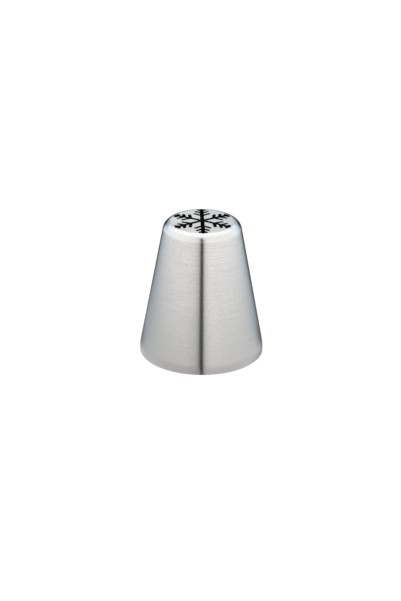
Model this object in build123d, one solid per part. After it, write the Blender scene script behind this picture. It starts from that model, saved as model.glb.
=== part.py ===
from build123d import *
import os
from math import atan2, cos, radians, sin, sqrt, tan

# A large icing nozzle of brushed stainless sheet, standing on its wide end.
# Lengths are in millimetres. The origin is the centre of the rim that it stands on, with +Z up.

# Outside form
base_diameter = 31.0
top_diameter = 18.9
overall_height = 35.0
land_height = 1.7
land_bend_radius = 8.0
shoulder_radius = 2.4
dome_radius = 195.0

# Sheet and its trimmed edge
wall = 0.6
rim_bevel = 0.15

# Weld seam: a step turned in the end of the cone takes a tongue on the crown
skirt_length = 1.0
register_depth = 1.0
register_clearance = 0.03

# Snowflake, cut straight down through the face
arm_count = 6
arm_lap = 0.35
stem_slot_width = 1.0
branch_slot_width = 0.86
branch_angle = 54.0
branch_root_shares = (0.415, 0.637, 0.84)
branch_length_shares = (0.272, 0.212, 0.12)
cut_overrun = 1.0

# The cone leans in from the corner of the land to the top diameter, at the height of the face
base_radius = base_diameter / 2
top_radius = top_diameter / 2
lean = atan2(base_radius - top_radius, overall_height - land_height)
cone_offset = base_radius * cos(lean) + land_height * sin(lean)

# Each outside bend curves about a centre within the nozzle
bend_centre = (base_radius - land_bend_radius, land_height - land_bend_radius * tan(lean / 2))
dome_centre = (0, overall_height - dome_radius)
shoulder_span = cone_offset - shoulder_radius - dome_centre[1] * sin(lean)
shoulder_rise = sqrt((dome_radius - shoulder_radius) ** 2 - shoulder_span**2)
shoulder_centre = (
    shoulder_span * cos(lean) - shoulder_rise * sin(lean),
    dome_centre[1] + shoulder_span * sin(lean) + shoulder_rise * cos(lean),
)
dome_edge = atan2(shoulder_centre[1] - dome_centre[1], shoulder_centre[0])
upright = radians(90)


def point_about(centre, radius, heading):
    """The point at a radius from a centre, with the heading in radians above the horizontal."""
    return (centre[0] + radius * cos(heading), centre[1] + radius * sin(heading))


def bend(centre, radius, start, end):
    """The arc about a centre from one heading to another."""
    headings = (start, (start + end) / 2, end)
    return ThreePointArc(*[point_about(centre, radius, heading) for heading in headings])


def cone_radius(height, depth):
    """The radius of the cone at a height, at a depth below its outside face."""
    return (cone_offset - depth - height * sin(lean)) / cos(lean)


def seam_point(depth):
    """The point of the seam at a depth below the outside. The seam is square to the wall."""
    skirt_top = point_about(shoulder_centre, shoulder_radius - depth, lean)
    return (skirt_top[0] + skirt_length * sin(lean), skirt_top[1] - skirt_length * cos(lean))


def seam_step(radius, depth):
    """The points of a step: out along the seam, in to a radius, down by a depth, in to the bore."""
    outside = seam_point(0)
    corner = seam_point((outside[0] - radius) / cos(lean))
    foot = corner[1] - depth
    return [outside, corner, (radius, foot), (cone_radius(foot, wall), foot)]


# The step takes half of the wall, halfway down its depth, and the tongue fits in it
register_radius = cone_radius(seam_point(wall / 2)[1] - register_depth / 2, wall / 2)
tongue_radius = register_radius - register_clearance
tongue_depth = register_depth - register_clearance


def revolved(edges):
    """The solid of revolution of a closed profile about the nozzle's axis."""
    profile = make_face(Plane.XZ * (Curve() + edges))
    return revolve(profile, Axis.Z)


def cone_wall():
    """The conical sleeve: trimmed rim, straight land, cone, and the step for the crown."""
    land_bend = bend(bend_centre, land_bend_radius, 0, lean)
    mouth_radius = base_radius - wall
    mouth_height = (cone_offset - wall - mouth_radius * cos(lean)) / sin(lean)
    edges = [
        land_bend,
        Polyline(
            land_bend @ 1,
            *seam_step(register_radius, register_depth),
            (mouth_radius, mouth_height),
            (mouth_radius, 0),
            (base_radius - rim_bevel, 0),
            (base_radius, rim_bevel),
            land_bend @ 0,
        ),
    ]
    return revolved(edges)


def round_slot(root, heading, length, width):
    """A straight slot with round ends, along a heading in degrees from a root on the arm."""
    slot = SlotCenterToCenter(length, width)
    return Pos(root, 0, 0) * Rot(0, 0, heading) * Pos(length / 2, 0, 0) * slot


def snowflake():
    """The outline of the cuts: stems that meet on the axis, each with mirrored branches."""
    dome_edge_radius = point_about(shoulder_centre, shoulder_radius, dome_edge)[0]
    arm_reach = dome_edge_radius + arm_lap
    arm = round_slot(0, 0, arm_reach - stem_slot_width / 2, stem_slot_width)
    for root_share, length_share in zip(branch_root_shares, branch_length_shares):
        for heading in (branch_angle, -branch_angle):
            arm += round_slot(root_share * arm_reach, heading, length_share * arm_reach, branch_slot_width)
    return Sketch() + [Rot(0, 0, 90 + 360 * turn / arm_count) * arm for turn in range(arm_count)]


def snowflake_crown():
    """The pressed cap: pierced face, rounded shoulder, short skirt, and the tongue at its foot."""
    inside_radius = shoulder_radius - wall
    inside_edge = point_about(shoulder_centre, inside_radius, dome_edge)
    edges = [
        bend(dome_centre, dome_radius, upright, dome_edge),
        bend(shoulder_centre, shoulder_radius, dome_edge, lean),
        Polyline(
            point_about(shoulder_centre, shoulder_radius, lean),
            *seam_step(tongue_radius, tongue_depth),
            point_about(shoulder_centre, inside_radius, lean),
            point_about(shoulder_centre, inside_radius, (lean + dome_edge) / 2),
            inside_edge,
            (0, inside_edge[1]),
            (0, overall_height),
        ),
    ]
    cap = revolved(edges)
    cut_foot = inside_edge[1] - cut_overrun
    cut_depth = overall_height + cut_overrun - cut_foot
    return cap - extrude(Pos(0, 0, cut_foot) * snowflake(), cut_depth)


os.makedirs("parts", exist_ok=True)
export_step(cone_wall(), "parts/cone_wall.step")
export_step(snowflake_crown(), "parts/snowflake_crown.step")
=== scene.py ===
"""A large piping nozzle of brushed stainless steel, standing on its wide end in a white studio.

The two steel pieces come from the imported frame, in metres, with +Z up. This script gives them
their finishes, and sets up the floor, the sheets that the steel reflects, the light and the camera.
"""

import logging
import math
from dataclasses import dataclass, field
from enum import Enum
from typing import Mapping, Sequence, Union

import bpy
from mathutils import Matrix, Vector

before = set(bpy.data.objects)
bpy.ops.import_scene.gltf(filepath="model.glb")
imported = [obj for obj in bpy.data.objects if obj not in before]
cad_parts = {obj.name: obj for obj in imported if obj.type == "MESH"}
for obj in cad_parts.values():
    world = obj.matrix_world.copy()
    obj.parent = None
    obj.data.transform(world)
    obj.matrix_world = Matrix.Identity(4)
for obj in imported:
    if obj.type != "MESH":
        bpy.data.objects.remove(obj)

MM = 0.001
HALF_TURN = 180.0
RAMP_MIDDLE = 0.5
WHITE = (1.0, 1.0, 1.0)

# The least radius that a length is divided by, in millimetres
LEAST_RADIUS = 0.001

logging.basicConfig(level=logging.INFO, format="%(message)s")
log = logging.getLogger("nozzle")

Colour = tuple[float, float, float]
Point = tuple[float, float, float]
FromTo = tuple[float, float]
Stop = tuple[float, float]
Socket = bpy.types.NodeSocket
Level = Union[Socket, float]


class Sum(Enum):
    """The sums that a shader works out."""

    ADD = "ADD"
    SUBTRACT = "SUBTRACT"
    MULTIPLY = "MULTIPLY"
    DIVIDE = "DIVIDE"
    LESS = "LESS_THAN"
    MORE = "GREATER_THAN"
    MOST = "MAXIMUM"
    BEARING = "ARCTAN2"
    ABSOLUTE = "ABSOLUTE"
    SQUARE_ROOT = "SQRT"


class Mixed(Enum):
    """What a mixing node mixes, with the numbers of its two inputs and of its output."""

    LEVELS = ("FLOAT", 2, 3, 0)
    COLOURS = ("RGBA", 6, 7, 2)


@dataclass(frozen=True)
class Clouds:
    """A cloudy noise: clouds to a unit of length, number of finer layers, and their strength."""

    scale: float
    detail: float
    rough: float


class Bench:
    """A node tree in the making, with short calls for the nodes that the finishes share."""

    def __init__(self, tree: bpy.types.NodeTree) -> None:
        """Clears the node tree of a material or of the world, to build on it."""
        self.tree = tree
        tree.nodes.clear()

    def node(self, kind: str, **settings: object) -> bpy.types.Node:
        """Adds a node.

        Args:
            kind: The node's type.
            settings: Properties of the node, by name.

        Returns:
            The new node.
        """
        made = self.tree.nodes.new(kind)
        for name, value in settings.items():
            setattr(made, name, value)
        return made

    def feed(self, socket: Socket, value: object) -> None:
        """Links an output to a socket, or sets the socket to a plain value.

        Args:
            socket: The input to fill.
            value: An output socket, a number or a colour.
        """
        if isinstance(value, Socket):
            self.tree.links.new(value, socket)
        else:
            socket.default_value = value

    def fill(self, node: bpy.types.Node, fills: Mapping[Union[int, str], object]) -> None:
        """Feeds several inputs of a node, each found by its number or name."""
        for key, value in fills.items():
            self.feed(node.inputs[key], value)

    def sum(self, kind: Sum, first: Level, second: Level = 0.0, clamp: bool = False) -> Socket:
        """Works out a sum of two values.

        Args:
            kind: The sum.
            first: An output socket or a number.
            second: An output socket or a number.
            clamp: Whether the result is held between 0 and 1.

        Returns:
            The result.
        """
        made = self.node("ShaderNodeMath", operation=kind.value, use_clamp=clamp)
        self.fill(made, {0: first, 1: second})
        return made.outputs[0]

    def product(self, first: Level, *others: Level) -> Level:
        """Multiplies values, one after the other.

        Args:
            first: An output socket or a number.
            others: The values that it is multiplied by.

        Returns:
            The product.
        """
        for other in others:
            first = self.sum(Sum.MULTIPLY, first, other)
        return first

    def weighted(self, first: Level, second: Level, second_share: float) -> Socket:
        """Adds two levels by weight: the weight of the second is given, and both make 1."""
        first_part = self.product(first, 1 - second_share)
        return self.sum(Sum.ADD, first_part, self.product(second, second_share))

    def span(
        self, value: Level, start: float, end: float, low: float = 0.0, high: float = 1.0
    ) -> Socket:
        """Turns a value smoothly from one level to another.

        Args:
            value: The value that is read.
            start: Where the turn starts.
            end: Where the turn ends.
            low: The level at the start.
            high: The level at the end.

        Returns:
            The level.
        """
        made = self.node("ShaderNodeMapRange", interpolation_type="SMOOTHSTEP")
        self.fill(made, dict(enumerate((value, start, end, low, high))))
        return made.outputs[0]

    def curve(self, value: Level, stops: Sequence[Stop]) -> Socket:
        """Reads a level off a curve that runs straight from each stop to the next.

        Args:
            value: The place on the curve, from 0 to 1.
            stops: Place and level, in order.

        Returns:
            The level.
        """
        made = self.node("ShaderNodeValToRGB")
        band = made.color_ramp
        band.interpolation = "LINEAR"
        while len(band.elements) < len(stops):
            band.elements.new(RAMP_MIDDLE)
        for element, (place, level) in zip(band.elements, stops):
            element.position = place
            element.color = (level, level, level, 1)
        self.feed(made.inputs[0], value)
        return made.outputs[0]

    def curve_about(self, value: Level, reach: float, stops: Sequence[Stop]) -> Socket:
        """Reads a level off a curve whose places run from minus the reach to the reach.

        Args:
            value: The place on the curve.
            reach: The largest place that the curve can hold.
            stops: Place and level, in order.

        Returns:
            The level.
        """
        width = 2 * reach
        share = self.sum(Sum.ADD, self.sum(Sum.DIVIDE, value, width), RAMP_MIDDLE)
        return self.curve(share, [(place / width + RAMP_MIDDLE, level) for place, level in stops])

    def mixed(self, kind: Mixed, share: Level, first: object, second: object) -> Socket:
        """Mixes two levels or two colours.

        Args:
            kind: What is mixed.
            share: The share of the second.
            first: An output socket or a plain value.
            second: An output socket or a plain value.

        Returns:
            The mixture.
        """
        data_type, first_input, second_input, output = kind.value
        made = self.node("ShaderNodeMix", data_type=data_type)
        self.fill(made, {0: share, first_input: first, second_input: second})
        return made.outputs[output]

    def blend(self, share: Level, first: Level, second: Level) -> Socket:
        """Blends two levels, with the share of the second."""
        return self.mixed(Mixed.LEVELS, share, first, second)

    def mix(
        self, share: Level, first: Union[Socket, Colour], second: Union[Socket, Colour]
    ) -> Socket:
        """Mixes two colours, with the share of the second."""
        full = [(*colour, 1) if isinstance(colour, tuple) else colour for colour in (first, second)]
        return self.mixed(Mixed.COLOURS, share, *full)

    def noise(self, place: Socket, clouds: Clouds) -> Socket:
        """Reads a cloudy noise.

        Args:
            place: The place that is read.
            clouds: How fine and how strong the noise is.

        Returns:
            A level about 0.5.
        """
        made = self.node("ShaderNodeTexNoise")
        self.fill(made, {
            "Vector": place,
            "Scale": clouds.scale,
            "Detail": clouds.detail,
            "Roughness": clouds.rough,
        })
        return made.outputs["Fac"]

    def lead_out(self, shader: Socket, output: str = "ShaderNodeOutputMaterial") -> None:
        """Leads a shader to the tree's output."""
        self.feed(self.node(output).inputs[0], shader)


@dataclass(frozen=True)
class TurnedPlace:
    """Where a point is on a turned piece, in millimetres, as sockets of a shader."""

    x: Socket
    y: Socket
    height: Socket
    radius: Socket
    outward: Socket
    upward: Socket

    @staticmethod
    def on(bench: Bench) -> "TurnedPlace":
        """Reads the place from the piece's own coordinates.

        Args:
            bench: The shader that needs it.

        Returns:
            The place, with how far its surface faces outward and upward.
        """
        own = bench.node("ShaderNodeTexCoord")
        parts = bench.node("ShaderNodeSeparateXYZ")
        bench.feed(parts.inputs[0], own.outputs["Object"])
        x, y, height = (bench.sum(Sum.DIVIDE, part, MM) for part in parts.outputs)
        square = bench.sum(Sum.ADD, bench.product(x, x), bench.product(y, y))
        radius = bench.sum(Sum.SQUARE_ROOT, square)
        facing = bench.node("ShaderNodeSeparateXYZ")
        bench.feed(facing.inputs[0], own.outputs["Normal"])
        normal_x, normal_y, upward = facing.outputs
        across = bench.sum(Sum.ADD, bench.product(normal_x, x), bench.product(normal_y, y))
        outward = bench.sum(Sum.DIVIDE, across, bench.sum(Sum.MOST, radius, LEAST_RADIUS))
        return TurnedPlace(x, y, height, radius, outward, upward)

    def round_the_axis(self, bench: Bench, lengthwise: float) -> Socket:
        """Coordinates that change slowly round the axis and fast along the profile, with no seam.

        Args:
            bench: The shader that needs them.
            lengthwise: How much they change round the axis, for each millimetre of radius.

        Returns:
            The coordinates, in millimetres along the profile.
        """
        made = bench.node("ShaderNodeCombineXYZ")
        bench.fill(made, {
            0: bench.product(self.x, lengthwise),
            1: bench.product(self.y, lengthwise),
            2: bench.sum(Sum.SUBTRACT, self.height, self.radius),
        })
        return made.outputs[0]

    def point(self, bench: Bench) -> Socket:
        """The place itself, as coordinates.

        Args:
            bench: The shader that needs it.

        Returns:
            The coordinates, in millimetres.
        """
        made = bench.node("ShaderNodeCombineXYZ")
        bench.fill(made, {0: self.x, 1: self.y, 2: self.height})
        return made.outputs[0]


@dataclass(frozen=True)
class BrushedSteel:
    """Stainless sheet, brushed round the axis by a belt while the nozzle turns.

    Lengths are in millimetres. A pair of numbers says where a change starts and where it ends.
    """

    name: str

    # The steel on the lines' crests and in their valleys, and its roughness on cone and face
    steel: Colour = (0.789, 0.782, 0.766)
    shade: Colour = (0.693, 0.688, 0.675)
    satin: float = 0.23
    satin_drift: float = 0.025
    face_satin: float = 0.16
    face_start: FromTo = (32.9, 34.4)

    # Reflections are drawn out square to the brushing
    stretch: float = 1.0
    stretch_turn: float = 0.25

    # The brushing: long hair lines, short grain, and faint uneven patches over both
    hair: Clouds = Clouds(8.0, 3.0, 0.7)
    hair_lengthwise: float = 0.018
    grain: Clouds = Clouds(3.4, 2.0, 0.6)
    grain_lengthwise: float = 0.45
    grain_share: float = 0.4
    patches: Clouds = Clouds(0.22, 3.0, 0.55)
    colour_patches: float = 0.12
    colour_change: FromTo = (0.36, 0.62)
    satin_patches: float = 0.2
    satin_change: FromTo = (0.3, 0.7)
    line_depth: float = 0.003
    line_strength: float = 0.5

    # Edges, broken by a light polish
    edge_break: float = 0.03
    edge_samples: int = 6
    edge_turn: FromTo = (0.02, 0.25)
    edge_steel: Colour = (0.88, 0.875, 0.87)
    edge_share: float = 0.2

    # The walls of the cuts and the inside, both painted dark as shade
    cut_wall_painted_shade: Colour = (0.022, 0.02, 0.018)
    cut_wall_rough: float = 0.6
    cut_reach: float = 8.4
    cut_foot: float = 33.9
    cut_upright: float = 0.35
    inside_painted_shade: Colour = (0.30, 0.30, 0.31)
    inside_facing: float = -0.05
    rim_top: float = 0.5

    def dress(self, piece: bpy.types.Object) -> None:
        """Puts the finish on a piece.

        Args:
            piece: The steel piece, with its mesh in the frame's coordinates.
        """
        material = bpy.data.materials.new(self.name)
        material.use_nodes = True
        bench = Bench(material.node_tree)
        place = TurnedPlace.on(bench)
        lines = self.lines(bench, place)
        patches = bench.noise(place.point(bench), self.patches)
        broken = bench.node("ShaderNodeBevel", samples=self.edge_samples)
        bench.feed(broken.inputs["Radius"], self.edge_break * MM)
        edge = self.edge(bench, broken.outputs[0])
        bump = bench.node("ShaderNodeBump")
        bench.fill(bump, {
            "Strength": self.line_strength,
            "Distance": self.line_depth * MM,
            "Height": lines,
            "Normal": broken.outputs[0],
        })
        tangent = bench.node("ShaderNodeTangent", direction_type="RADIAL", axis="Z")
        surface = bench.node("ShaderNodeBsdfPrincipled")
        bench.fill(surface, {
            "Metallic": 1.0,
            "Anisotropic": self.stretch,
            "Anisotropic Rotation": self.stretch_turn,
            "Base Color": self.colour(bench, place, lines, patches, edge),
            "Roughness": self.roughness(bench, place, lines, patches),
            "Tangent": tangent.outputs[0],
            "Normal": bump.outputs[0],
        })
        bench.lead_out(surface.outputs[0])
        piece.data.materials.clear()
        piece.data.materials.append(material)
        log.info("%s: %s finish", piece.name, self.name)

    def lines(self, bench: Bench, place: TurnedPlace) -> Socket:
        """The brushing: hair lines that run far round the axis, with shorter grain over them.

        Args:
            bench: The shader.
            place: The place on the piece.

        Returns:
            The height of the lines, about 0.5.
        """
        hair = bench.noise(place.round_the_axis(bench, self.hair_lengthwise), self.hair)
        grain = bench.noise(place.round_the_axis(bench, self.grain_lengthwise), self.grain)
        return bench.weighted(hair, grain, self.grain_share)

    def edge(self, bench: Bench, broken: Socket) -> Socket:
        """Where an edge is broken: the rounded normal turns away from the surface's own.

        Args:
            bench: The shader.
            broken: The normal with its edges rounded.

        Returns:
            1 along an edge and 0 away from it.
        """
        own = bench.node("ShaderNodeNewGeometry").outputs["Normal"]
        agree = bench.node("ShaderNodeVectorMath", operation="DOT_PRODUCT")
        bench.fill(agree, {0: broken, 1: own})
        return bench.span(bench.sum(Sum.SUBTRACT, 1.0, agree.outputs["Value"]), *self.edge_turn)

    def is_cut_wall(self, bench: Bench, place: TurnedPlace) -> Socket:
        """Where the surface is the wall of a cut: upright, high up and near the axis.

        Args:
            bench: The shader.
            place: The place on the piece.

        Returns:
            1 on a cut's wall and 0 elsewhere.
        """
        upright = bench.sum(Sum.LESS, bench.sum(Sum.ABSOLUTE, place.upward), self.cut_upright)
        high = bench.sum(Sum.MORE, place.height, self.cut_foot)
        near = bench.sum(Sum.LESS, place.radius, self.cut_reach)
        return bench.product(upright, high, near)

    def is_inside(self, bench: Bench, place: TurnedPlace) -> Socket:
        """Where the surface is inside the nozzle: it faces the axis, or down from above the rim.

        Args:
            bench: The shader.
            place: The place on the piece.

        Returns:
            1 inside and 0 outside.
        """
        inward = bench.sum(Sum.LESS, place.outward, self.inside_facing)
        down = bench.sum(Sum.LESS, place.upward, self.inside_facing)
        above_rim = bench.sum(Sum.MORE, place.height, self.rim_top)
        return bench.sum(Sum.MOST, inward, bench.product(down, above_rim))

    def colour(
        self, bench: Bench, place: TurnedPlace, lines: Socket, patches: Socket, edge: Socket
    ) -> Socket:
        """The steel's colour: paler on the lines' crests and on edges, and painted dark inside and
        in cuts, as shade.

        Args:
            bench: The shader.
            place: The place on the piece.
            lines: The brushing.
            patches: The faint uneven patches.
            edge: Where an edge is broken.

        Returns:
            The colour.
        """
        worn = bench.weighted(lines, patches, self.colour_patches)
        steel = bench.mix(bench.span(worn, *self.colour_change), self.shade, self.steel)
        # The inside and the cuts' walls get painted shade: they are darkened where shade falls
        within = bench.mix(self.is_inside(bench, place), steel, self.inside_painted_shade)
        cut = bench.mix(self.is_cut_wall(bench, place), within, self.cut_wall_painted_shade)
        return bench.mix(bench.product(edge, self.edge_share), cut, self.edge_steel)

    def roughness(
        self, bench: Bench, place: TurnedPlace, lines: Socket, patches: Socket
    ) -> Socket:
        """How rough the steel is: duller in the lines' valleys and on the cuts' walls.

        Args:
            bench: The shader.
            place: The place on the piece.
            lines: The brushing.
            patches: The faint uneven patches.

        Returns:
            The roughness.
        """
        worn = bench.weighted(lines, patches, self.satin_patches)
        change = bench.span(worn, *self.satin_change, self.satin_drift, -self.satin_drift)
        satin = bench.span(place.height, *self.face_start, self.satin, self.face_satin)
        cut = bench.product(self.is_cut_wall(bench, place), self.cut_wall_rough)
        return bench.sum(Sum.MOST, bench.sum(Sum.ADD, satin, change), cut)


@dataclass
class Nozzle:
    """The nozzle: a conical sleeve and the pierced crown that closes its small end."""

    sleeve_node: str = "cone_wall"
    crown_node: str = "snowflake_crown"
    sleeve_finish: BrushedSteel = field(default_factory=lambda: BrushedSteel("cone_steel"))
    crown_finish: BrushedSteel = field(default_factory=lambda: BrushedSteel("crown_steel"))

    def build(self, nodes: dict[str, bpy.types.Object]) -> None:
        """Dresses both pieces, which it finds by name among the frame's nodes."""
        self.sleeve_finish.dress(nodes[self.sleeve_node])
        self.crown_finish.dress(nodes[self.crown_node])


def only_in_reflections(piece: bpy.types.Object) -> None:
    """Hides a studio piece from everything but the steel's reflections.

    Args:
        piece: The studio piece.
    """
    piece.visible_camera = False
    piece.visible_diffuse = False
    piece.visible_transmission = False
    piece.visible_volume_scatter = False
    piece.visible_shadow = False


def stand_in_studio(
    name: str, points: Sequence[Point], faces: Sequence[tuple[int, ...]]
) -> tuple[bpy.types.Object, Bench]:
    """Makes a plain studio piece with an empty material.

    Args:
        name: The piece's name.
        points: Its corners, in metres.
        faces: Its faces, as numbers of corners.

    Returns:
        The piece and its material's bench.
    """
    mesh = bpy.data.meshes.new(name)
    mesh.from_pydata(points, [], faces)
    piece = bpy.data.objects.new(name, mesh)
    bpy.context.scene.collection.objects.link(piece)
    material = bpy.data.materials.new(name)
    material.use_nodes = True
    mesh.materials.append(material)
    log.info("%s: in the studio", name)
    return piece, Bench(material.node_tree)


@dataclass(frozen=True)
class Surroundings:
    """How bright the room is in each direction, as the steel reflects it.

    A direction is a turn in degrees: 0 is the front, where the camera stands, 90 is the right, and
    180 is the dark back. The sheets in front leave a narrow dark gap, a little left of the middle.
    A stop is a turn and a level.
    """

    levels: Sequence[Stop] = (
        (-180, 0.0), (-166, 0.0), (-158, 0.02), (-151, 0.33), (-144, 0.70), (-137, 0.80),
        (-130, 0.87), (-115, 0.95), (-97, 0.97), (-77, 0.98), (-55, 1.0), (85, 1.0), (100, 0.98),
        (115, 0.93), (130, 0.78), (137, 0.57), (144, 0.29), (151, 0.0), (180, 0.0),
    )
    sheets: float = 1.15

    # The gap, as turns from its middle and shares of the light
    gap_middle: float = -2.1
    gap_reach: float = 45.0
    gap: Sequence[Stop] = (
        (-40, 1.0), (-26, 0.97), (-18, 0.92), (-12, 0.84), (-8, 0.72), (-5, 0.58), (-3.6, 0.5),
        (-2.9, 0.0), (2.8, 0.0), (3.5, 0.55), (5.5, 0.72), (8.5, 0.88), (12, 0.97), (16, 1.0),
    )

    # The cards behind are a little cool, and the sheets in front a little warm
    cool: Colour = (0.90, 1.0, 1.10)
    cool_share: Sequence[Stop] = (
        (-180, 0.2), (-172, 0.5), (-160, 1.0), (-140, 1.0), (-122, 0.6), (-105, 0.3), (-85, 0.05),
        (-60, 0.0), (60, 0.0), (85, 0.05), (105, 0.35), (122, 0.7), (140, 1.0), (160, 1.0),
        (172, 0.6), (180, 0.2),
    )
    warm: Colour = (1.035, 1.0, 1.005)
    warm_share: Sequence[Stop] = (
        (-80, 0.0), (-55, 0.6), (-30, 1.0), (-12, 0.8), (-6, 0.0), (12, 0.0), (30, 0.3),
        (50, 0.3), (75, 0.0),
    )

    def turn(self, bench: Bench, place: TurnedPlace, focus: float = 0.0) -> Socket:
        """The turn of a place about a focus, which is so many millimetres in front of the axis."""
        ahead = bench.sum(Sum.SUBTRACT, -focus, place.y)
        return bench.product(bench.sum(Sum.BEARING, place.x, ahead), HALF_TURN / math.pi)

    def around(self, bench: Bench, turn: Socket, stops: Sequence[Stop]) -> Socket:
        """Reads a level off a curve that goes once round the room."""
        return bench.curve_about(turn, HALF_TURN, stops)

    def level(self, bench: Bench, turn: Socket) -> Socket:
        """How bright the room is at a turn."""
        return self.around(bench, turn, self.levels)

    def through_the_gap(self, bench: Bench, turn: Socket, spread: Level) -> Socket:
        """The share of light at a turn: none in the gap, whose own width is a spread of 1."""
        aside = bench.sum(Sum.DIVIDE, bench.sum(Sum.SUBTRACT, turn, self.gap_middle), spread)
        return bench.curve_about(aside, self.gap_reach, self.gap)

    def glow(self, bench: Bench, turn: Socket, level: Socket) -> Socket:
        """A glow of a level, a little cooler at the back and warmer in front.

        Args:
            bench: The shader.
            turn: The turn, in degrees.
            level: The level.

        Returns:
            The shader's output.
        """
        cooled = bench.mix(self.around(bench, turn, self.cool_share), WHITE, self.cool)
        tinted = bench.mix(self.around(bench, turn, self.warm_share), cooled, self.warm)
        made = bench.node("ShaderNodeEmission")
        bench.fill(made, {0: tinted, 1: level})
        return made.outputs[0]


@dataclass
class Floor:
    """A pale floor, white to the camera, with the nozzle's soft shadow.

    The floor itself is sized in metres. The rest is in millimetres from the axis or in degrees of
    turn, and a pair says where a change starts and where it ends. A stop of the pool or the shade
    is a share of the pool's reach and a level.
    """

    room: Surroundings
    half_side: float = 3.0
    drop: float = 0.00002
    paint: float = 0.8
    paper_white: float = 0.78
    shadow_share: float = 0.30

    # The reflected floor starts at the nozzle's mouth, dips a little, and then brightens outward
    mouth: float = 15.0
    focus: float = 7.0
    pool_reach: float = 600.0
    pool_level: float = 1.3
    pool: Sequence[Stop] = (
        (0.0, 0.42), (0.01, 0.375), (0.04, 0.36), (0.1, 0.385), (0.16, 0.47), (0.28, 0.76),
        (0.5, 0.94), (0.75, 1.0),
    )

    # The painted shade near the nozzle is deeper on the left, though less so at its foot
    near_share: Sequence[Stop] = ((-180, 0.80), (-85, 0.79), (-45, 0.74), (-14, 0.74), (4, 1.0))
    near_reach: FromTo = (80.0, 250.0)
    near_foot: FromTo = (15.5, 22.0)
    near_foot_share: float = 0.65

    # The foot of the nozzle is lit evenly, and more from the sides, as far back as these turns
    foot: FromTo = (18.0, 75.0)
    foot_share: float = 0.85
    foot_back_left: FromTo = (135.0, 160.0)
    foot_back_right: FromTo = (98.0, 130.0)
    foot_sides: FromTo = (30.0, 110.0)
    foot_side_level: float = 1.35

    # The gap widens away from the nozzle and is fainter at its foot
    gap_near: FromTo = (30.0, 350.0)
    gap_spread: FromTo = (0.85, 1.65)
    gap_foot: FromTo = (15.5, 26.0)
    gap_foot_share: float = 0.78

    # The painted contact shade where the rim stands on the floor, from these turns on the right to
    # the back
    contact_shade: FromTo = (15.5, 20.0)
    contact_level: float = 0.5
    contact_start: FromTo = (70.0, 105.0)

    # The painted shade straight behind the nozzle, as if thrown by it
    shade: Sequence[Stop] = ((0.0, 0.03), (0.12, 0.05), (0.3, 0.16), (1.0, 0.3))
    shade_middle: float = 2.0
    shade_edge: FromTo = (17.0, 32.0)
    shade_start: FromTo = (-2.0, 11.0)

    def build(self) -> None:
        """Lays the floor and gives it its paint."""
        s = self.half_side
        points = [(-s, -s, 0), (s, -s, 0), (s, s, 0), (-s, s, 0)]
        floor, bench = stand_in_studio("floor", points, [(0, 1, 2, 3)])
        floor.location.z = -self.drop
        path = bench.node("ShaderNodeLightPath")
        choice = bench.node("ShaderNodeMixShader")
        bench.fill(choice, {
            0: path.outputs["Is Glossy Ray"], 1: self.seen(bench), 2: self.reflected(bench),
        })
        bench.lead_out(choice.outputs[0])

    def seen(self, bench: Bench) -> Socket:
        """The paint as the camera sees it: white, with a share of the light's own shading, and
        painted dark under the nozzle, as shade, where the white glow stops at its mouth.

        Args:
            bench: The shader.

        Returns:
            The shader's output.
        """
        matt = bench.node("ShaderNodeBsdfDiffuse")
        bench.feed(matt.inputs[0], (self.paint * self.shadow_share,) * 3 + (1,))
        white = bench.node("ShaderNodeEmission")
        # The white glow stops at the mouth, so the floor under the nozzle is painted dark, as shade
        outside = bench.sum(Sum.MORE, TurnedPlace.on(bench).radius, self.mouth)
        bench.fill(white, {0: (self.paper_white,) * 3 + (1,), 1: outside})
        both = bench.node("ShaderNodeAddShader")
        bench.fill(both, {0: matt.outputs[0], 1: white.outputs[0]})
        return both.outputs[0]

    def reflected(self, bench: Bench) -> Socket:
        """The floor as the steel reflects it: painted shade near the nozzle, most of all behind it.

        Args:
            bench: The shader.

        Returns:
            The shader's output.
        """
        place = TurnedPlace.on(bench)
        turn = self.room.turn(bench, place, self.focus)
        past_mouth = bench.sum(Sum.SUBTRACT, place.radius, self.mouth)
        away = bench.sum(Sum.DIVIDE, past_mouth, self.pool_reach, clamp=True)
        near = self.near_light(bench, place, turn)
        pool = bench.product(bench.curve(away, self.pool), self.pool_level, near)
        room = bench.product(pool, self.room_light(bench, place, turn))
        lit = bench.product(room, self.gap_light(bench, place, turn))
        level = bench.blend(self.in_shade(bench, place), lit, bench.curve(away, self.shade))
        # The reflected floor under the nozzle is painted dark too, as shade
        outside = bench.sum(Sum.MORE, place.radius, self.mouth)
        return self.room.glow(bench, turn, bench.product(level, outside))

    def near_light(self, bench: Bench, place: TurnedPlace, turn: Socket) -> Socket:
        """The share of light near the nozzle: less on its left, and under the rim on its right.

        Args:
            bench: The shader.
            place: The place on the floor.
            turn: The turn, in degrees.

        Returns:
            The share of light.
        """
        at_foot = bench.span(place.radius, *self.near_foot, self.near_foot_share, 0.0)
        even = bench.sum(Sum.MOST, bench.span(place.radius, *self.near_reach), at_foot)
        side = bench.blend(even, self.room.around(bench, turn, self.near_share), 1.0)
        # Painted contact shade under the rim, on the right
        contact_shade = bench.span(place.radius, *self.contact_shade, self.contact_level, 1.0)
        under_rim = bench.product(side, contact_shade)
        return bench.blend(bench.span(turn, *self.contact_start), side, under_rim)

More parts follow.
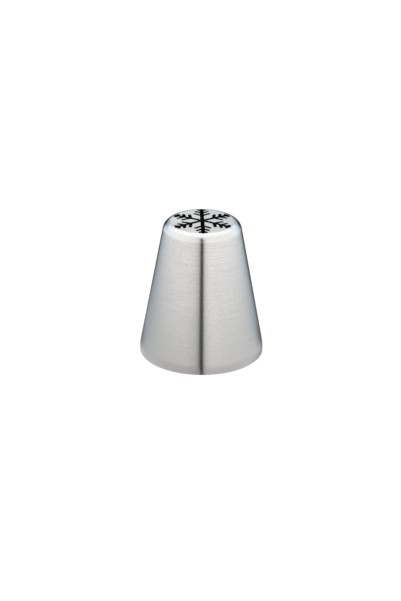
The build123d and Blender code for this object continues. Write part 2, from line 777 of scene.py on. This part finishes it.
    def room_light(self, bench: Bench, place: TurnedPlace, turn: Socket) -> Socket:
        """The room's light on the floor, which is more even at the nozzle's foot.

        Args:
            bench: The shader.
            place: The place on the floor.
            turn: The turn, in degrees.

        Returns:
            The level.
        """
        near = bench.span(place.radius, *self.foot, self.foot_share, 0.0)
        leftward = bench.sum(Sum.SUBTRACT, 0.0, turn)
        left = bench.span(leftward, *self.foot_back_left, 1.0, 0.0)
        right = bench.span(turn, *self.foot_back_right, 1.0, 0.0)
        foot = bench.product(near, bench.product(left, right))
        aside = bench.sum(Sum.ABSOLUTE, turn)
        beside = bench.span(aside, *self.foot_sides, 1.0, self.foot_side_level)
        return bench.blend(foot, self.room.level(bench, turn), beside)

    def gap_light(self, bench: Bench, place: TurnedPlace, turn: Socket) -> Socket:
        """The share of light that the gap in the sheets leaves on the floor.

        Args:
            bench: The shader.
            place: The place on the floor.
            turn: The turn, in degrees.

        Returns:
            The share of light.
        """
        spread = bench.span(place.radius, *self.gap_near, *self.gap_spread)
        depth = bench.span(place.radius, *self.gap_foot, self.gap_foot_share, 1.0)
        return bench.blend(depth, 1.0, self.room.through_the_gap(bench, turn, spread))

    def in_shade(self, bench: Bench, place: TurnedPlace) -> Socket:
        """How far a place lies in the painted shade straight behind the nozzle.

        Args:
            bench: The shader.
            place: The place on the floor.

        Returns:
            1 in the shade and 0 beside it.
        """
        across = bench.sum(Sum.ABSOLUTE, bench.sum(Sum.SUBTRACT, place.x, self.shade_middle))
        within = bench.span(across, *self.shade_edge, 1.0, 0.0)
        return bench.product(within, bench.span(place.y, *self.shade_start))


@dataclass
class StudioWall:
    """A round wall of cards, with sheets above them, which only the nozzle's reflections show.

    The wall itself is sized in metres. A pair is two heights in millimetres, where a change starts
    and where it ends, or two turns in degrees. The cards are as bright as the room.
    """

    room: Surroundings
    away: float = 0.6
    head: float = 0.5
    steps: int = 96

    # The sheets are grey beside the back's middle and at the top of the back
    card_fade: FromTo = (122.0, 196.0)
    upper: Sequence[Stop] = (
        (-180, 0.95), (-177, 0.94), (-174, 0.80), (-167, 0.50), (-155, 0.44), (-140, 0.80),
        (-115, 1.0), (115, 1.0), (140, 0.80), (155, 0.50), (167, 0.52), (173, 0.68), (177, 0.86),
        (180, 0.95),
    )
    upper_fade: FromTo = (275.0, 335.0)
    back: FromTo = (158.0, 172.0)
    lip: FromTo = (255.0, 335.0)
    lip_level: float = 0.66

    # The gap is fainter halfway up
    gap_spread: float = 1.4
    gap_fade: FromTo = (150.0, 260.0)
    gap_share: float = 0.5
    gap_top: FromTo = (260.0, 330.0)
    gap_top_share: float = 0.92

    def build(self) -> None:
        """Stands the wall on the floor."""
        points: list[Point] = []
        for step in range(self.steps):
            bearing = 2 * math.pi * step / self.steps
            x, y = self.away * math.sin(bearing), self.away * math.cos(bearing)
            points += [(x, y, height) for height in (0.0, self.head)]
        count = len(points)
        feet = range(0, count, 2)
        faces = [(foot, (foot + 2) % count, (foot + 3) % count, foot + 1) for foot in feet]
        wall, bench = stand_in_studio("studio_wall", points, faces)
        only_in_reflections(wall)
        place = TurnedPlace.on(bench)
        turn = self.room.turn(bench, place)
        above = bench.span(place.height, *self.card_fade)
        upper = self.upper_level(bench, place, turn)
        cards = bench.blend(above, self.room.level(bench, turn), upper)
        shown = bench.product(cards, self.gap_light(bench, place, turn), self.room.sheets)
        bench.lead_out(self.room.glow(bench, turn, shown))

    def upper_level(self, bench: Bench, place: TurnedPlace, turn: Socket) -> Socket:
        """How bright the sheets are: grey beside the back's middle, and at the top of the back.

        Args:
            bench: The shader.
            place: The place on the wall.
            turn: The turn, in degrees.

        Returns:
            The level.
        """
        beside = self.room.around(bench, turn, self.upper)
        sheets = bench.blend(bench.span(place.height, *self.upper_fade), beside, 1.0)
        at_back = bench.span(bench.sum(Sum.ABSOLUTE, turn), *self.back)
        head = bench.span(place.height, *self.lip, 1.0, self.lip_level)
        return bench.product(sheets, bench.blend(at_back, 1.0, head))

    def gap_light(self, bench: Bench, place: TurnedPlace, turn: Socket) -> Socket:
        """The share of light that the gap leaves on the wall.

        Args:
            bench: The shader.
            place: The place on the wall.
            turn: The turn, in degrees.

        Returns:
            The share of light.
        """
        lower = bench.span(place.height, *self.gap_fade, 1.0, self.gap_share)
        top = bench.span(place.height, *self.gap_top, 0.0, self.gap_top_share)
        gap = self.room.through_the_gap(bench, turn, self.gap_spread)
        return bench.blend(bench.sum(Sum.MOST, lower, top), 1.0, gap)


@dataclass
class CeilingSheet:
    """A round white sheet over the nozzle, which only its reflections show.

    It is brightest about a spot behind the nozzle, and the gap runs on through its front. The sheet
    itself is sized in metres, and the places on it are in millimetres.
    """

    room: Surroundings
    half_width: float = 1.1
    height: float = 0.6
    steps: int = 48

    # The spot's level, the level elsewhere, and how far from the spot the one fades to the other
    spot: float = 1.36
    plain: float = 1.08
    spot_behind: float = 480.0
    fade: FromTo = (250.0, 750.0)

    # The gap starts in front of the nozzle, with its sides drawn from a root behind the axis
    gap_spread: float = 1.1
    gap_root: float = -350.0
    gap_start: FromTo = (-110.0, -520.0)
    gap_share: float = 0.92

    def build(self) -> None:
        """Hangs the sheet."""
        bearings = [2 * math.pi * step / self.steps for step in range(self.steps)]
        width = self.half_width
        points = [(width * math.cos(b), width * math.sin(b), 0.0) for b in bearings]
        sheet, bench = stand_in_studio("ceiling_sheet", points, [tuple(range(self.steps))])
        sheet.location = (0, 0, self.height)
        only_in_reflections(sheet)
        place = TurnedPlace.on(bench)
        glow = bench.node("ShaderNodeEmission")
        light = bench.product(self.spot_level(bench, place), self.gap_light(bench, place))
        bench.feed(glow.inputs[1], light)
        bench.lead_out(glow.outputs[0])

    def spot_level(self, bench: Bench, place: TurnedPlace) -> Socket:
        """How bright the sheet is: it fades from its spot to a plain level.

        Args:
            bench: The shader.
            place: The place on the sheet.

        Returns:
            The level.
        """
        behind = bench.sum(Sum.SUBTRACT, place.y, self.spot_behind)
        squares = bench.product(place.x, place.x), bench.product(behind, behind)
        distance = bench.sum(Sum.SQUARE_ROOT, bench.sum(Sum.ADD, *squares))
        return bench.span(distance, *self.fade, self.spot, self.plain)

    def gap_light(self, bench: Bench, place: TurnedPlace) -> Socket:
        """The share of light that the gap leaves on the sheet.

        Args:
            bench: The shader.
            place: The place on the sheet.

        Returns:
            The share of light.
        """
        turn = self.room.turn(bench, place, self.gap_root)
        gap = self.room.through_the_gap(bench, turn, self.gap_spread)
        depth = bench.span(place.y, *self.gap_start, 0.0, self.gap_share)
        return bench.blend(depth, 1.0, gap)


@dataclass
class Studio:
    """The floor, the reflected sheets, the soft light and the white world."""

    room: Surroundings = field(default_factory=Surroundings)
    room_level: float = 0.75
    soft_box_size: float = 0.5
    soft_box_place: Point = (0.08, -0.15, 0.6)
    soft_box_watts: float = 2.6

    def build(self) -> None:
        """Sets up the studio."""
        Floor(self.room).build()
        StudioWall(self.room).build()
        CeilingSheet(self.room).build()
        self.paint_world()
        self.hang_soft_box()

    def paint_world(self) -> None:
        """Makes the world white to the camera and to reflections, and a plain light to the rest."""
        world = bpy.data.worlds.new("white_room")
        world.use_nodes = True
        bpy.context.scene.world = world
        bench = Bench(world.node_tree)
        path = bench.node("ShaderNodeLightPath").outputs
        mirrored = bench.sum(Sum.MOST, path["Is Glossy Ray"], path["Is Transmission Ray"])
        shown = bench.sum(Sum.MOST, path["Is Camera Ray"], mirrored)
        background = bench.node("ShaderNodeBackground")
        strength = bench.span(shown, 0.0, 1.0, self.room_level, 1.0)
        bench.fill(background, {0: (*WHITE, 1), 1: strength})
        bench.lead_out(background.outputs[0], "ShaderNodeOutputWorld")

    def hang_soft_box(self) -> None:
        """Hangs a square soft light over the nozzle, a little to the front and the right."""
        light = bpy.data.lights.new("soft_box", "AREA")
        light.size = self.soft_box_size
        light.energy = self.soft_box_watts
        lamp = bpy.data.objects.new("soft_box", light)
        bpy.context.scene.collection.objects.link(lamp)
        lamp.location = self.soft_box_place
        lamp.rotation_euler = (-lamp.location).to_track_quat("-Z", "Y").to_euler()
        lamp.visible_glossy = False
        log.info("%s: over the nozzle", lamp.name)


@dataclass
class StudioCamera:
    """A camera a little above the nozzle, at the place that the picture was taken from.

    Angles are in degrees and lengths in metres. The aim is the point of the nozzle's axis that the
    angles are measured at, and it shows so many pixels right of the picture's middle and above it.
    """

    azimuth: float = -1.9
    elevation: float = 24.19
    roll: float = 0.44
    away: float = 0.5644
    aim_height: float = 0.01705
    focal_pixels: float = 2252.6
    aim_right: float = 1.31
    aim_up: float = 13.72
    picture_height: int = 601
    sensor: float = 36.0
    nearest: float = 0.01

    def build(self) -> None:
        """Makes the camera and turns it until the aim stands at its place in the picture."""
        turn, rise, roll = (math.radians(a) for a in (self.azimuth, self.elevation, self.roll))
        back = Vector((
            math.sin(turn) * math.cos(rise), -math.cos(turn) * math.cos(rise), math.sin(rise),
        ))
        level = Vector((math.cos(turn), math.sin(turn), 0))
        upright = back.cross(level)
        right = level * math.cos(roll) + upright * math.sin(roll)
        up = upright * math.cos(roll) - level * math.sin(roll)
        shift_right, shift_up = self.aim_right / self.focal_pixels, self.aim_up / self.focal_pixels
        facing = (back + right * shift_right + up * shift_up).normalized()
        side = (right - facing * right.dot(facing)).normalized()
        top = facing.cross(side)
        camera = bpy.data.cameras.new("camera")
        camera.sensor_width = self.sensor
        camera.lens = self.focal_pixels * self.sensor / self.picture_height
        camera.clip_start = self.nearest
        holder = bpy.data.objects.new("camera", camera)
        bpy.context.scene.collection.objects.link(holder)
        place = Vector((0, 0, self.aim_height)) + back * self.away
        turned = Matrix((side, top, facing)).transposed().to_4x4()
        holder.matrix_world = Matrix.Translation(place) @ turned
        bpy.context.scene.camera = holder
        log.info("%s: %.2f m away", holder.name, self.away)


def main() -> None:
    """Builds the nozzle, the studio and the camera."""
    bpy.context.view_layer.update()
    bpy.context.scene.view_settings.view_transform = "Standard"
    Nozzle().build(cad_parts)
    Studio().build()
    StudioCamera().build()


if __name__ == "__main__":
    main()
